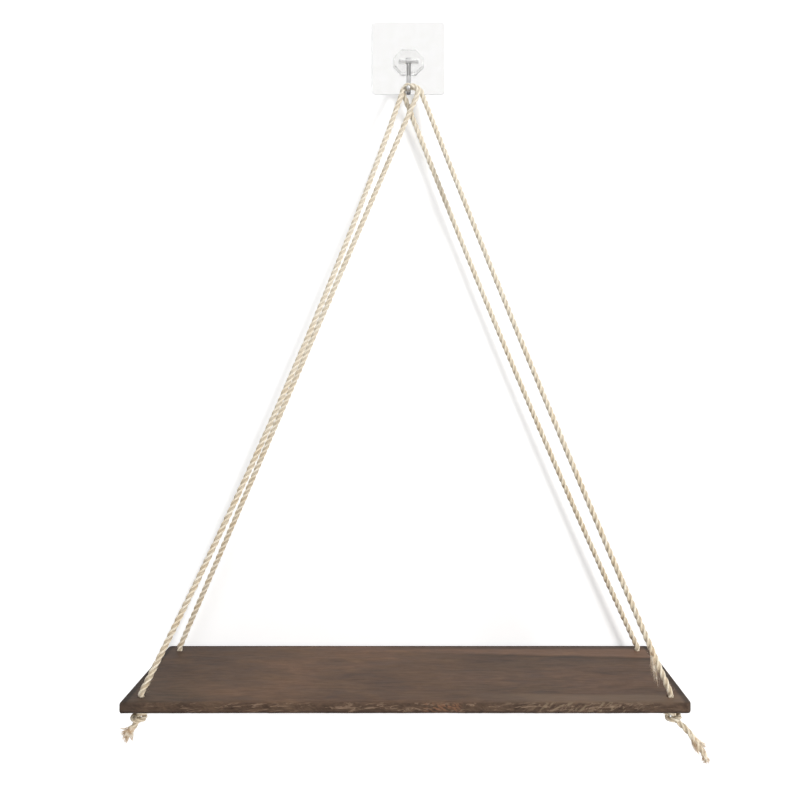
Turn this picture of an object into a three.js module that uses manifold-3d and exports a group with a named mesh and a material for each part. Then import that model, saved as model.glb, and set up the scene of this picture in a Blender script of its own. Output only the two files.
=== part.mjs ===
// Hanging rope shelf: one wooden board carried by two ropes that hang over a steel wall hook
import * as THREE from 'three';
import { mergeVertices } from 'three/addons/utils/BufferGeometryUtils.js';
import Module from 'manifold-3d';

const wasm = await Module();
wasm.setup();

// Board, in millimetres
const boardWidth = 400;
const boardDepth = 125;
const boardThickness = 8;
const boardEdgeRadius = 1.5;
const boardCornerRadius = 4;
// From the centre of the wall pad down to the board's top face
const boardDrop = 490;
// From the wall to the board's rear edge
const wallGap = 0.3;
// Between a rope and the wall of its hole
const holeClearance = 0.5;
// From a hole's centre to the two nearest edges
const holeInset = 12;

// Rope
const ropeDiameter = 4.5;
// Pulled tight in a knot, the rope is thinner
const knotRopeDiameter = 3.2;
// Between the two ropes where they lie side by side in the hook
const ropeSpacing = 0.6;
// How far each slack rope bows inward and down at its middle
const ropeBows = { front_left: 9, rear_left: 0.3, front_right: 2.5, rear_right: 4 };
// Off the hook's right side the stiff ropes stand out in an arch: how far it runs level first,
// and the radius of the bend down
const leftArchLength = 2;
const leftArchRadius = 5.5;
const rightArchLength = 5;
const rightArchRadius = 6;
// Height above the board at which a leaning rope turns down into its hole
const holeBendRise = 2.5;
// How far the rope's end in the hole stops above the board's underside
const ropeEndLift = 1;

// Self-adhesive wall pad and its clear boss
const padSize = 60;
const padCornerRadius = 3;
const filmThickness = 0.5;
const padThickness = 1.5;
const bossWidth = 25.6;
const bossLength = 20.3;
const bossCornerCut = 6.6;
const bossHeight = 8;
// The boss is straight at its back half, and its front face is this share of its outline
const bossFrontShare = 0.92;
// From the pad's centre down to the boss's centre and to the pin
const bossDrop = 4.5;
const pinDrop = 4;

// Steel hook and the pin that it turns on
const pinDiameter = 3;
const pinLength = 16;
const wireDiameter = 3.5;
// From the pin down to the hook's bottom run
const hookDrop = 26.6;
const runLength = 6.4;
const lipBendRadius = 3.5;
const lipBendTurn = 60;
// The rounded end is this much thicker than the wire
const endSwell = 0.1;

// Clearances: between neighbours, and round the turning stem
const seatGap = 0.3;
const stemGap = 0.6;
const cutOverrun = 5;

// Each rope is parted round the hook by a drum-shaped cut: what is inside is its crown
const drumRadius = 7.5;
const drumLength = 60;

// Overhand knot: sizes as shares of the knotted rope's diameter
const knotCoreShare = 0.5;
const knotBeltShare = 1.8;
const knotRiseShare = 0.7;
const knotBulgePower = 1.6;
// Each knot's twist about its centre line and its turn in degrees. Two are tied the other way.
const knotTwists = { front_left: -312, rear_left: 312, front_right: 312, rear_right: -312 };
const knotSpins = { front_left: 132, rear_left: 200, front_right: 48, rear_right: 12 };
// Each knot's lean sideways and back as a share of its drop
const knotLeanShares = {
  front_left: [0.1, -0.05],
  rear_left: [-0.1, 0.1],
  front_right: [0, -0.1],
  rear_right: [0.15, 0],
};

// Tails: route below each knot, as seen from where the rope leaves it
const tailMiddles = {
  front_left: [-3, -1, -5],
  rear_left: [-3.5, -1.5, -5],
  front_right: [9.5, -1, -8.6],
  rear_right: [3, -2, -5.5],
};
const tailEnds = {
  front_left: [-5.7, -1.6, -6.8],
  rear_left: [-6, -4, -13],
  front_right: [21.5, -3, -25.5],
  rear_right: [7, -5, -14],
};
const tuftLength = 7;
const tuftDiameter = 5.5;

// Facets
const ropeSides = 10;
const knotSides = 8;
const wireSides = 14;
const pinSides = 20;
const drumSides = 48;
const holeSides = 20;
const legPoints = 20;
const arcPoints = 14;
const knotPoints = 30;
const routeSteps = 2;
const hookSteps = 26;
const edgeSegments = 3;
const cornerSegments = 5;
const endRings = 8;
const gapSamples = 400;

// Places worked out from the sizes above
const boardTop = -boardDrop;
const boardBottom = boardTop - boardThickness;
const boardMiddle = -wallGap - boardDepth / 2;
const padFront = -(filmThickness + padThickness);
const wireRadius = wireDiameter / 2;
const pinRadius = pinDiameter / 2;
const ropeRadius = ropeDiameter / 2;
const knotRopeRadius = knotRopeDiameter / 2;
const pinY = padFront - wireRadius - seatGap;
const pinZ = -pinDrop;
// The hook's rear bend hugs the rear rope
const rearBendRadius = wireRadius + ropeRadius;
const runZ = pinZ - hookDrop;
const runRearY = pinY - rearBendRadius;
const runFrontY = runRearY - runLength;
const crownRadius = wireRadius + ropeRadius + seatGap;
const rightCrownY = runRearY - seatGap;
const leftCrownY = rightCrownY - ropeDiameter - ropeSpacing;
const drumY = (leftCrownY + rightCrownY) / 2;

// The four corners: side is -1 at the left, row is -1 at the front
const corners = {
  front_left: { side: -1, row: -1 },
  rear_left: { side: -1, row: 1 },
  front_right: { side: 1, row: -1 },
  rear_right: { side: 1, row: 1 },
};

const materials = {
  wood: { color: 0x5c4c40, roughness: 0.65, metalness: 0 },
  jute: { color: 0xc9b48c, roughness: 0.95, metalness: 0 },
  clear: { color: 0xf1f3f2, roughness: 0.08, metalness: 0, transparent: true, opacity: 0.3 },
  film: { color: 0xf6f5f0, roughness: 0.4, metalness: 0, transparent: true, opacity: 0.4 },
  steel: { color: 0xc8c9cb, roughness: 0.15, metalness: 1 },
};

function addPiece(group, name, geometry, material) {
  const mesh = new THREE.Mesh(geometry, new THREE.MeshStandardMaterial(materials[material]));
  mesh.name = name;
  group.add(mesh);
}

// A closed geometry as a solid that can be joined and cut
function toSolid(geometry) {
  const bare = geometry.clone();
  bare.deleteAttribute('normal');
  bare.deleteAttribute('uv');
  const merged = mergeVertices(bare);
  const index = Array.from(merged.index.array);
  const kept = [];
  for (let i = 0; i < index.length; i += 3) {
    const [a, b, c] = index.slice(i, i + 3);
    if (a !== b && b !== c && c !== a) kept.push(a, b, c);
  }
  const mesh = new wasm.Mesh({
    numProp: 3,
    vertProperties: new Float32Array(merged.attributes.position.array),
    triVerts: new Uint32Array(kept),
  });
  return new wasm.Manifold(mesh);
}

function toGeometry(solid) {
  const mesh = solid.getMesh();
  const geometry = new THREE.BufferGeometry();
  geometry.setAttribute('position', new THREE.BufferAttribute(mesh.vertProperties, 3));
  geometry.setIndex(new THREE.BufferAttribute(mesh.triVerts, 1));
  return geometry;
}

// A round bar along the X axis
function barAlongX(radius, length, sides, y, z) {
  const geometry = new THREE.CylinderGeometry(radius, radius, length, sides);
  geometry.rotateZ(Math.PI / 2);
  geometry.translate(0, y, z);
  return geometry;
}

function roundSection(diameter, sides) {
  const points = [];
  for (let i = 0; i < sides; i += 1) {
    const angle = (i / sides) * 2 * Math.PI;
    const point = new THREE.Vector2(Math.cos(angle), Math.sin(angle));
    points.push(point.multiplyScalar(diameter / 2));
  }
  return new THREE.Shape(points);
}

// A smooth route with its rings spaced like its points, closer together in the bends
class Route extends THREE.CatmullRomCurve3 {
  constructor(points) {
    super(points, false, 'centripetal');
  }

  getPointAt(share, target) {
    return this.getPoint(share, target);
  }

  getTangentAt(share, target) {
    return this.getTangent(share, target);
  }
}

function sweep(curve, diameter, sides, steps) {
  const section = roundSection(diameter, sides);
  return new THREE.ExtrudeGeometry(section, { extrudePath: curve, steps, bevelEnabled: false });
}

function ropeAlong(points, diameter, sides) {
  return sweep(new Route(points), diameter, sides, (points.length - 1) * routeSteps);
}

function roundedRectangle(width, height, radius) {
  const x = width / 2 - radius;
  const y = height / 2 - radius;
  const shape = new THREE.Shape();
  shape.absarc(x, y, radius, 0, Math.PI / 2, false);
  shape.absarc(-x, y, radius, Math.PI / 2, Math.PI, false);
  shape.absarc(-x, -y, radius, Math.PI, 1.5 * Math.PI, false);
  shape.absarc(x, -y, radius, 1.5 * Math.PI, 2 * Math.PI, false);
  shape.closePath();
  return shape;
}

// A rounded square sheet against the wall, its back at backY
function wallSheet(thickness, backY) {
  const outline = roundedRectangle(padSize, padSize, padCornerRadius);
  const options = { depth: thickness, bevelEnabled: false, curveSegments: cornerSegments };
  const geometry = new THREE.ExtrudeGeometry(outline, options);
  geometry.rotateX(Math.PI / 2);
  geometry.translate(0, backY, 0);
  return geometry;
}

// Long octagonal block on the backing plate, its front half tapered
function bossBlock() {
  const x = bossWidth / 2;
  const y = bossLength / 2;
  const cut = bossCornerCut;
  const outline = new THREE.Shape([
    new THREE.Vector2(x, cut - y),
    new THREE.Vector2(x, y - cut),
    new THREE.Vector2(x - cut, y),
    new THREE.Vector2(cut - x, y),
    new THREE.Vector2(-x, y - cut),
    new THREE.Vector2(-x, cut - y),
    new THREE.Vector2(cut - x, -y),
    new THREE.Vector2(x - cut, -y),
  ]);
  const options = { depth: bossHeight, steps: 2, bevelEnabled: false };
  const geometry = new THREE.ExtrudeGeometry(outline, options);
  const position = geometry.attributes.position;
  for (let i = 0; i < position.count; i += 1) {
    if (position.getZ(i) > 0.75 * bossHeight) {
      position.setX(i, position.getX(i) * bossFrontShare);
      position.setY(i, position.getY(i) * bossFrontShare);
    }
  }
  geometry.rotateX(Math.PI / 2);
  geometry.translate(0, padFront, -bossDrop);
  return geometry;
}

// Clear boss: open below for the stem, and behind for the pin
function hookBase() {
  const slotTop = pinZ + wireRadius + stemGap;
  const slotBottom = -bossDrop - bossLength / 2 - cutOverrun;
  const slotDepth = bossHeight + 2 * cutOverrun;
  const slotWidth = wireDiameter + 2 * stemGap;
  const slot = new THREE.BoxGeometry(slotWidth, slotDepth, slotTop - slotBottom);
  slot.translate(0, padFront - bossHeight / 2, (slotTop + slotBottom) / 2);
  const channelRadius = pinRadius + seatGap;
  const channelLength = pinLength + 2 * seatGap;
  const channel = barAlongX(channelRadius, channelLength, pinSides, pinY, pinZ);
  const mouthDepth = cutOverrun + padFront - pinY;
  const mouth = new THREE.BoxGeometry(channelLength, mouthDepth, 2 * channelRadius);
  mouth.translate(0, pinY + mouthDepth / 2, pinZ);
  const pocket = toSolid(channel).add(toSolid(mouth));
  return toGeometry(toSolid(bossBlock()).subtract(toSolid(slot)).subtract(pocket));
}

// Centre line of the hook: down the stem, round the rear bend, along the run and up the lip
class HookLine extends THREE.Curve {
  getPoint(share) {
    const stemLength = hookDrop - rearBendRadius;
    const bendLength = (Math.PI / 2) * rearBendRadius;
    const lipLength = THREE.MathUtils.degToRad(lipBendTurn) * lipBendRadius;
    let run = share * (stemLength + bendLength + runLength + lipLength);
    if (run <= stemLength) return new THREE.Vector3(0, pinY, pinZ - run);
    run -= stemLength;
    if (run <= bendLength) {
      const turned = run / rearBendRadius;
      const y = runRearY + rearBendRadius * Math.cos(turned);
      const z = runZ + rearBendRadius * (1 - Math.sin(turned));
      return new THREE.Vector3(0, y, z);
    }
    run -= bendLength;
    if (run <= runLength) return new THREE.Vector3(0, runRearY - run, runZ);
    const turned = (run - runLength) / lipBendRadius;
    const y = runFrontY - lipBendRadius * Math.sin(turned);
    const z = runZ + lipBendRadius * (1 - Math.cos(turned));
    return new THREE.Vector3(0, y, z);
  }
}

// Wire hook: its top is saddled to the pin, and the end of its lip is rounded
function wireHook() {
  const line = new HookLine();
  const wire = toSolid(sweep(line, wireDiameter, wireSides, hookSteps));
  const end = line.getPoint(1);
  const ball = new THREE.SphereGeometry((wireDiameter + endSwell) / 2, wireSides, endRings);
  ball.translate(end.x, end.y, end.z);
  const saddle = barAlongX(pinRadius + seatGap, pinLength, pinSides, pinY, pinZ);
  return toGeometry(wire.add(toSolid(ball)).subtract(toSolid(saddle)));
}

function holeAt(corner) {
  const x = corner.side * (boardWidth / 2 - holeInset);
  const y = boardMiddle + corner.row * (boardDepth / 2 - holeInset);
  return new THREE.Vector2(x, y);
}

function board() {
  const outline = roundedRectangle(boardWidth, boardDepth, boardCornerRadius);
  const geometry = new THREE.ExtrudeGeometry(outline, {
    depth: boardThickness - 2 * boardEdgeRadius,
    bevelThickness: boardEdgeRadius,
    bevelSize: boardEdgeRadius,
    bevelOffset: -boardEdgeRadius,
    bevelSegments: edgeSegments,
    curveSegments: cornerSegments,
  });
  geometry.translate(0, boardMiddle, boardBottom + boardEdgeRadius);
  let solid = toSolid(geometry);
  const radius = ropeRadius + holeClearance;
  const length = boardThickness + 2 * cutOverrun;
  for (const corner of Object.values(corners)) {
    const hole = holeAt(corner);
    const drill = new THREE.CylinderGeometry(radius, radius, length, holeSides);
    drill.rotateX(Math.PI / 2);
    drill.translate(hole.x, hole.y, (boardTop + boardBottom) / 2);
    solid = solid.subtract(toSolid(drill));
  }
  return toGeometry(solid);
}

// Bend of a rope over the hook: tight round the wire on the left, a wide arch on the right
function crownBend(side, onRight) {
  if (!onRight) return { x: 0, z: runZ, radius: crownRadius };
  const radius = side < 0 ? leftArchRadius : rightArchRadius;
  const x = side < 0 ? leftArchLength : rightArchLength;
  return { x, z: runZ + crownRadius - radius, radius };
}

// The left rope lies at the front of the hook and the right rope behind it
function crownPoint(side, angle) {
  const bend = crownBend(side, Math.cos(angle) > 0);
  const x = bend.x + bend.radius * Math.cos(angle);
  const z = bend.z + bend.radius * Math.sin(angle);
  return new THREE.Vector3(x, side < 0 ? leftCrownY : rightCrownY, z);
}

// Angle at which a corner's rope leaves its bend. A front rope leaves on its own side, and a
// rear rope crosses below the hook from the other side.
function leaveAngle(name) {
  const corner = corners[name];
  const bend = crownBend(corner.side, corner.side * corner.row < 0);
  const across = Math.abs(holeAt(corner).x) + corner.row * (bend.x + bend.radius);
  const drop = bend.z - boardTop;
  const length = Math.hypot(across, drop);
  const lean = Math.atan2(across, drop) - Math.atan2(4 * ropeBows[name], length);
  const away = corner.row < 0 ? Math.PI - lean : -lean;
  return corner.side < 0 ? away : Math.PI - away;
}

// A leg's bowed line from the hook to just above its hole
function legLine(name) {
  const corner = corners[name];
  const hole = holeAt(corner);
  const top = crownPoint(corner.side, leaveAngle(name));
  const bottom = new THREE.Vector3(hole.x, hole.y, boardTop + holeBendRise);
  const along = bottom.clone().sub(top);
  const level = new THREE.Vector3(along.x, along.y, 0);
  const inward = level.projectOnPlane(along.clone().normalize()).normalize().negate();
  return (share) => {
    const bow = 4 * share * (1 - share) * ropeBows[name];
    return top.clone().addScaledVector(along, share).addScaledVector(inward, bow);
  };
}

// Points of the turn over the hook, from one angle to another
function crownArc(side, from, to, count) {
  const points = [];
  for (let i = 0; i <= count; i += 1) {
    points.push(crownPoint(side, from + (i / count) * (to - from)));
  }
  return points;
}

// Leg of a rope: from the top of the hook's turn, along its bow and down into its hole
function ropeLeg(name) {
  const corner = corners[name];
  const hole = holeAt(corner);
  const pointAt = legLine(name);
  const points = crownArc(corner.side, Math.PI / 2, leaveAngle(name), arcPoints / 2);
  for (let i = 0.5; i < legPoints; i += 1) points.push(pointAt(i / legPoints));
  points.push(pointAt(1 - holeBendRise / boardDrop));
  points.push(pointAt(1));
  points.push(new THREE.Vector3(hole.x, hole.y, boardTop - boardThickness / 4));
  points.push(new THREE.Vector3(hole.x, hole.y, boardBottom + ropeEndLift));
  const rope = toSolid(ropeAlong(points, ropeDiameter, ropeSides));
  const drum = barAlongX(drumRadius + seatGap, drumLength, drumSides, drumY, runZ);
  return toGeometry(rope.subtract(toSolid(drum)));
}

// A rope's turn over the hook, with the first stretch of both of its legs
function ropeCrown(side) {
  const row = side < 0 ? 'left' : 'right';
  const front = `front_${row}`;
  const rear = `rear_${row}`;
  const points = [
    legLine(front)(0.5 / legPoints),
    ...crownArc(side, leaveAngle(front), leaveAngle(rear), arcPoints),
    legLine(rear)(0.5 / legPoints),
  ];
  const rope = toSolid(ropeAlong(points, ropeDiameter, ropeSides));
  const drum = barAlongX(drumRadius, drumLength, drumSides, drumY, runZ);
  return toGeometry(rope.intersect(toSolid(drum)));
}

// Centre line of the overhand knot about its own centre. It goes down the core, up round the
// outside as a belt, and down the core again.
function knotPoint(name, share) {
  const bulge = (1 - share ** 2) ** knotBulgePower;
  const reach = (knotCoreShare + (knotBeltShare - knotCoreShare) * bulge) * knotRopeDiameter;
  const angle = THREE.MathUtils.degToRad(knotTwists[name] * share + knotSpins[name]);
  const height = -(4 * share ** 3 - 3 * share) * knotRiseShare * knotRopeDiameter;
  return new THREE.Vector3(reach * Math.cos(angle), reach * Math.sin(angle), height);
}

// The knot's own points, leaned over and hung just under the board at its hole
function hungKnot(name) {
  const [leanX, leanY] = knotLeanShares[name];
  const down = new THREE.Vector3(0, 0, -1);
  const axis = new THREE.Vector3(leanX, leanY, -1).normalize();
  const turn = new THREE.Quaternion().setFromUnitVectors(down, axis);
  const points = [];
  for (let i = 0; i <= knotPoints; i += 1) {
    const share = (2 * i) / knotPoints - 1;
    points.push(knotPoint(name, share).applyQuaternion(turn));
  }
  const hole = holeAt(corners[name]);
  const highest = Math.max(...points.map((point) => point.z));
  const rise = boardBottom - seatGap - knotRopeRadius - highest;
  const move = new THREE.Vector3(hole.x - points[0].x, hole.y - points[0].y, rise);
  return points.map((point) => point.add(move));
}

// From the hole through the knot to the end of the tail
function knotRoute(name) {
  const hole = holeAt(corners[name]);
  const tight = hungKnot(name);
  const exit = tight[tight.length - 1];
  const middle = new THREE.Vector3(...tailMiddles[name]);
  const end = new THREE.Vector3(...tailEnds[name]);
  return [
    new THREE.Vector3(hole.x, hole.y, boardBottom + ropeEndLift - seatGap),
    new THREE.Vector3(hole.x, hole.y, boardBottom - seatGap),
    ...tight,
    exit.clone().addScaledVector(middle, 1 / 3),
    exit.clone().add(middle),
    exit.clone().add(end),
  ];
}

// Least gap between stretches of a knot's rope that are further apart along it than its bends
function leastGap(curve) {
  const points = curve.getPoints(gapSamples);
  const runs = [0];
  for (let i = 1; i < points.length; i += 1) {
    runs.push(runs[i - 1] + points[i].distanceTo(points[i - 1]));
  }
  let least = Infinity;
  for (let i = 0; i < points.length; i += 1) {
    for (let j = i + 1; j < points.length; j += 1) {
      const apart = runs[j] - runs[i] > 2 * knotRopeDiameter;
      if (apart) least = Math.min(least, points[i].distanceTo(points[j]) - knotRopeDiameter);
    }
  }
  return least;
}

// Frayed end: a blunt flare round the last stretch of the tail
function tuft(end, direction) {
  const profile = [
    new THREE.Vector2(0, -tuftLength / 2),
    new THREE.Vector2(knotRopeRadius, -tuftLength / 2),
    new THREE.Vector2(tuftDiameter / 2, tuftLength / 4),
    new THREE.Vector2(tuftDiameter / 4, tuftLength / 2),
    new THREE.Vector2(0, tuftLength / 2),
  ];
  const flare = new THREE.LatheGeometry(profile, ropeSides);
  const upright = new THREE.Vector3(0, 1, 0);
  flare.applyQuaternion(new THREE.Quaternion().setFromUnitVectors(upright, direction));
  flare.translate(end.x, end.y, end.z);
  return flare;
}

function knot(name) {
  const points = knotRoute(name);
  const curve = new Route(points);
  console.log(`${name}_knot: least gap to itself ${leastGap(curve).toFixed(2)} mm`);
  const rope = toSolid(ropeAlong(points, knotRopeDiameter, knotSides));
  const flare = toSolid(tuft(points[points.length - 1], curve.getTangent(1)));
  return toGeometry(rope.add(flare));
}

const shelf = new THREE.Group();
addPiece(shelf, 'adhesive_film', wallSheet(filmThickness, 0), 'film');
addPiece(shelf, 'backing_plate', wallSheet(padThickness, -filmThickness), 'clear');
addPiece(shelf, 'hook_base', hookBase(), 'clear');
addPiece(shelf, 'cross_pin', barAlongX(pinRadius, pinLength, pinSides, pinY, pinZ), 'steel');
addPiece(shelf, 'wire_hook', wireHook(), 'steel');
addPiece(shelf, 'left_rope_crown', ropeCrown(-1), 'jute');
addPiece(shelf, 'right_rope_crown', ropeCrown(1), 'jute');
addPiece(shelf, 'board', board(), 'wood');
for (const name of Object.keys(corners)) {
  addPiece(shelf, `${name}_rope`, ropeLeg(name), 'jute');
  addPiece(shelf, `${name}_knot`, knot(name), 'jute');
}

export default shelf;
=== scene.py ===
"""Hanging rope shelf: a dark wooden board on two knotted jute ropes, hung on a clear wall hook."""

import math

import bpy
import numpy as np
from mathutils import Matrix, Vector, noise


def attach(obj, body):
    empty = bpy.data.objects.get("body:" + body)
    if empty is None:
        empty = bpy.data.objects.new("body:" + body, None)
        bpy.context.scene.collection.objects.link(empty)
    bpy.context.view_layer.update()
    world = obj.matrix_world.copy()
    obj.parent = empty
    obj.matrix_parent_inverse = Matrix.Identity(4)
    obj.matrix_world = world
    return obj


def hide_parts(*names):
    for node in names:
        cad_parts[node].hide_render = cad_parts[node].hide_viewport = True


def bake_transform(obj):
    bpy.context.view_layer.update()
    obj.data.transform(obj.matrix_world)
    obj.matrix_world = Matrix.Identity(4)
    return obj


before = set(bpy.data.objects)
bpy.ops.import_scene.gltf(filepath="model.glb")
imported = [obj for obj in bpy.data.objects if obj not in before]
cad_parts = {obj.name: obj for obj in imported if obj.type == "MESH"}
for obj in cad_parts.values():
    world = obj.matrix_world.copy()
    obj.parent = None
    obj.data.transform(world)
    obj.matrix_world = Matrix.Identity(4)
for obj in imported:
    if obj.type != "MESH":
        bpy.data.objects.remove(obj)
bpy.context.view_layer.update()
MM = 0.001

# Sizes in millimetres, as in the solids
BOARD_WIDTH, BOARD_DEPTH, BOARD_THICKNESS = 400, 125, 8
BOARD_TOP = -490
BOARD_BOTTOM = BOARD_TOP - BOARD_THICKNESS
WALL_GAP = 0.3
BOARD_MIDDLE = -WALL_GAP - BOARD_DEPTH / 2
ROPE_RADIUS = 2.25
HOLE_INSET, HOLE_CLEARANCE = 12, 0.5
HOLE_RADIUS = ROPE_RADIUS + HOLE_CLEARANCE
WIRE_RADIUS, PIN_RADIUS, PIN_LENGTH = 1.75, 1.5, 16
SEAT_GAP = 0.3
PAD_FRONT = -2
PIN_Y = PAD_FRONT - WIRE_RADIUS - SEAT_GAP
PIN_Z = -4
HOOK_DROP, RUN_LENGTH = 26.6, 6.4
REAR_BEND = WIRE_RADIUS + ROPE_RADIUS
RUN_Z = PIN_Z - HOOK_DROP
RUN_REAR = PIN_Y - REAR_BEND
RUN_FRONT = RUN_REAR - RUN_LENGTH
LIP_RADIUS, LIP_TURN = 3.5, math.radians(60)

# Ropes over the hook
ROPE_SPACING = 0.6
CROWN_RADIUS = WIRE_RADIUS + ROPE_RADIUS + SEAT_GAP
RIGHT_CROWN = RUN_REAR - SEAT_GAP
LEFT_CROWN = RIGHT_CROWN - 2 * ROPE_RADIUS - ROPE_SPACING
DRUM_Y = (LEFT_CROWN + RIGHT_CROWN) / 2
# Arch of each rope off the hook's right side: its level length and its bend's radius
ARCHES = {-1: (2, 5.5), 1: (5, 6)}
# Two drops from the hook's run, at each of which dress_rope works out a point midway between the crowns,
# and uses neither
BLEND_DROPS = (12, 3)

# Ropes at the board: rise above it at which a leg bends down into its hole, then heights above its
# underside with the rope's radius there
HOLE_BEND_RISE = 2.5
NECKS = ((BOARD_THICKNESS * 0.75, ROPE_RADIUS), (1.5, 2.1), (-SEAT_GAP, 1.9))
# Radius of the rope in a solid knot, and in a soft one, whose turns press on each other
KNOT_RADIUS, SOFT_KNOT_RADIUS = 1.6, 1.82
# Reach of a knot's core and belt and rise of its ends, as shares of the solid knot's rope
KNOT_CORE, KNOT_BELT, KNOT_RISE = 0.5, 1.8, 0.7
KNOT_BULGE_POWER = 1.6
# Radius a third of the way down a tail's first stretch, at that stretch's end and at the tail's end
TAIL_RADII = (2.0, 2.25, 2.0)
# Numbers of points along a leg, a crown and a knot
LEG_POINTS, CROWN_POINTS, KNOT_POINTS = 20, 15, 31

# Side is -1 at the left, row is -1 at the front. Each corner has its leg's bow, its knot's twist and
# spin in degrees, and its knot's lean sideways and back.
CORNERS = {
    "front_left": {"side": -1, "row": -1, "bow": 9, "twist": -312, "spin": 132, "lean": (0.1, -0.05)},
    "rear_left": {"side": -1, "row": 1, "bow": 0.3, "twist": 312, "spin": 200, "lean": (-0.1, 0.1)},
    "front_right": {"side": 1, "row": -1, "bow": 2.5, "twist": 312, "spin": 48, "lean": (0, -0.1)},
    "rear_right": {"side": 1, "row": 1, "bow": 4, "twist": -312, "spin": 12, "lean": (0.15, 0)},
}
# Middle and end of each tail, from where the rope leaves its knot
TAILS = {
    "front_left": ((-3, -1, -5), (-5.7, -1.6, -6.8)),
    "rear_left": ((-3.5, -1.5, -5), (-6, -4, -13)),
    "front_right": ((9.5, -1, -8.6), (21.5, -3, -25.5)),
    "rear_right": ((3, -2, -5.5), (7, -5, -14)),
}

# Least and greatest radius of loose yarns
COARSE, MIDDLING, FINE = (0.2, 0.42), (0.2, 0.38), (0.06, 0.11)
# Frayed ends, and one burst of fine fibres above the board: distance back from the rope's end, number
# of yarns, their radii, and the line of their tips from the hole's lower end
FANS = {
    "front_left": (
        (2.5, 150, COARSE, (
            (-15.2, -4, -13.2), (-13, -5, -18.5), (-9.8, -6, -24.2), (-7, -5, -19), (-4.2, -4, -22),
        )),
    ),
    "rear_left": (
        (2.5, 110, COARSE, ((-10, -6, -23), (-6, -9, -26), (-2, -5, -24))),
    ),
    "front_right": (
        (2.5, 120, COARSE, ((21.2, -5, -36.8), (24, -6, -37.6), (27, -5, -36.4))),
        (18, 60, MIDDLING, ((15.3, -5, -28), (18.5, -7, -31))),
        (18, 60, MIDDLING, ((24.6, -4.5, -24.8), (23.6, -6, -31))),
        (131, 52, FINE, ((-15, -4, 27), (-12, -5, 19), (-8, -4, 13))),
    ),
    "rear_right": (
        (2.5, 110, COARSE, ((4, -7, -25), (8, -10, -26), (13, -7, -23))),
    ),
}

# Rope surface: length of one turn of its strands, step along it, and share of its radius that is left
# in the grooves
LAY_LENGTH, ROPE_STEP, ROPE_SIDES = 17, 0.5, 30
STRANDS, STRAND_FLOOR = 3, 0.66
ROPE_WOBBLE, WOBBLE_PACE = 0.05, 0.11
WOBBLE_SEEDS = {"left": 3, "right": 8}
# Fuzz: hairs that root at a share of the rope's radius
FUZZ_SEEDS = {"left": 11, "right": 12}
HAIRS, HAIR_SECTIONS, HAIR_SIDES = 2600, 4, 3
HAIR_ROOT, HAIR_BEND, HAIR_TAPER = 0.85, 0.9, 0.75
HAIR_LENGTHS, HAIR_RADII = (0.8, 5.5), (0.03, 0.07)
# Loose yarns: inset of their roots from the rope's surface, share of the way to the tips that they
# reach, and share of that on which they first follow the rope
YARN_SECTIONS, YARN_SIDES = 11, 5
YARN_INSET, YARN_REACH, YARN_STRAIGHT = 0.5, (0.68, 1), (0.3, 0.5)
YARN_SCATTER, YARN_WAVE, YARN_WAVE_PACE, YARN_TAPER = 0.5, 0.35, (4, 9), 0.72

# Roundings of the board's edges and of its corners, of which the front left one is sharper
EDGE_RADIUS, CORNER_RADIUS, SHARP_CORNER = 1.5, 4, 1.2
# The top is worn down, and the underside by a share of it, within this distance of the front edge
WORN_DEPTH, UNDERSIDE_WEAR = 5, 0.35
# Gouges and wear fade out within these distances of the board's ends
GOUGE_FADE, WEAR_FADE = 6, 3
BOARD_STATIONS, BEND_STATIONS = 620, 9
# Points along a section's flat, its upright edge and each of its bends
FLAT_POINTS, UPRIGHT_POINTS, BEND_POINTS = 60, 16, 7
DRILL_LENGTH, DRILL_SIDES = 30, 48

# Steel and clear plastic
WIRE_SIDES, DOME_RINGS = 32, 9
# The wire's first two rings lie this far below the pin's middle
STEM_START, STEM_NEXT = 1.2, 3
# The pin's collar: half its length, the slope beside it, and its rise over the pin
COLLAR_REACH, COLLAR_SLOPE, COLLAR_SWELL = 1.9, 0.7, 0.12
# Each clear piece stands back from its neighbours by this much
CLEAR_GAP = 0.03

# The board's rear, front, end and foot in metres, for its material
REAR, FRONT = -WALL_GAP * MM, -(WALL_GAP + BOARD_DEPTH) * MM
END, FOOT = BOARD_WIDTH / 2 * MM, BOARD_BOTTOM * MM

# Camera and lamps, in metres. The camera is level, in front of the shelf, at the ropes' middle.
CAMERA_PLACE = (0.0136, -0.7587, -0.2474)
CAMERA_LENS, SENSOR_WIDTH, CLIP_START = 40.85, 36, 0.01
CAMERA_SHIFT = (-0.03125, -0.05625)
LAMPS = {
    "key": {"place": (1.75, -1.9, -0.12), "aim": (0, -0.05, -0.3), "size": 0.7, "watts": 37},
    "fill": {"place": (-1.4, -1.8, -0.1), "aim": (0, -0.05, -0.3), "size": 1.6, "watts": 7},
    "top": {"place": (0.1, -0.8, 1.5), "aim": (0, -0.06, -0.35), "size": 1.6, "watts": 14},
}
# White that the wall and floor add for the camera, so that only near shadows show on them
WALL_GLOW = 0.37
# Light of the white world on the pieces. Seen directly, in mirrors or in glass it is at 1.
WORLD_LEVEL = 0.34
# Wall and floor. The wall stands just behind the adhesive film.
STAGE_HALF_WIDTH, STAGE_FRONT, STAGE_FLOOR, STAGE_TOP = 3, -4, -1.6, 2
STAGE_WALL = 0.0004


def make_camera():
    data = bpy.data.cameras.new("camera")
    data.lens = CAMERA_LENS
    data.sensor_width = SENSOR_WIDTH
    data.shift_x, data.shift_y = CAMERA_SHIFT
    data.clip_start = CLIP_START
    camera = bpy.data.objects.new("camera", data)
    camera.location = CAMERA_PLACE
    camera.rotation_euler = (math.radians(90), 0, 0)
    bpy.context.scene.collection.objects.link(camera)
    bpy.context.scene.camera = camera


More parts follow.
